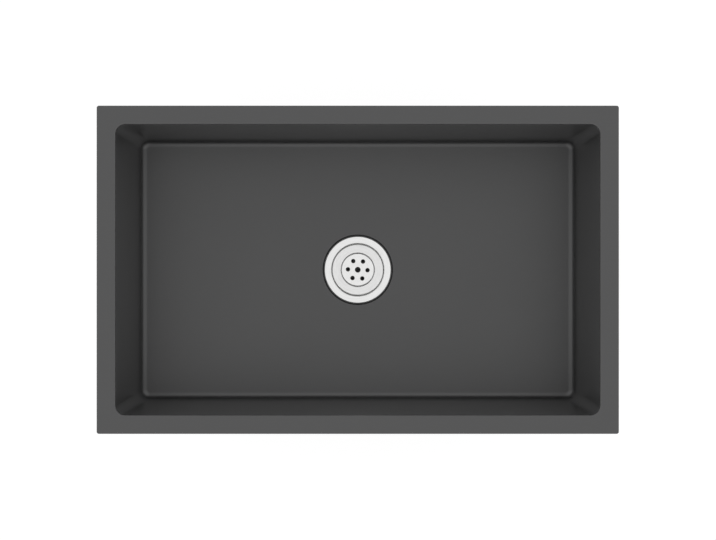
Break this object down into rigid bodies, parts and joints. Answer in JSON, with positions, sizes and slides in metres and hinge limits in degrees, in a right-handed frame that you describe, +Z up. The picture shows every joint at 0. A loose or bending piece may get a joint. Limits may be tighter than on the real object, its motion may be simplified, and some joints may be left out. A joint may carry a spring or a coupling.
{
  "type": "undermount kitchen sink",
  "caption": "Rectangular undermount kitchen sink bowl in dark coated steel, with a flat mounting flange, a gently sloped floor and a lift-out strainer over a round threaded waste.",
  "frame": {"origin": "centre of the flange's flat top face, on the waste's axis", "axes": "+X along the bowl's length, +Y to the back, +Z up out of the bowl"},
  "size_m": [0.7, 0.44, 0.2884],
  "materials": {
    "coated_steel": "dark metallic coating over satin steel",
    "bright_steel": "satin polished",
    "screw_steel": "plain machined",
    "insert_brass": "turned",
    "sound_pad": "matte sheet",
    "seal_rubber": "moulded",
    "waste_plastic": "moulded, fine grain"
  },
  "bodies": {
    "sink": {"sink_bowl": "coated_steel", "floor_pad_left": "sound_pad", "floor_pad_right": "sound_pad", "wall_pad_left": "sound_pad", "wall_pad_right": "sound_pad", "wall_pad_front": "sound_pad", "wall_pad_back": "sound_pad", "upper_seal": "seal_rubber", "lower_seal": "seal_rubber", "strainer_cup": "bright_steel", "waste_body": "waste_plastic", "threaded_insert": "insert_brass", "screw_washer": "screw_steel", "centre_screw": "screw_steel"},
    "strainer": {"lift_out_strainer": "bright_steel"}
  },
  "joints": [
    {"name": "strainer_lift", "type": "slide", "parent": "sink", "child": "strainer", "axis": [0, 0, 1], "range_m": [0, 0.23]}
  ]
}
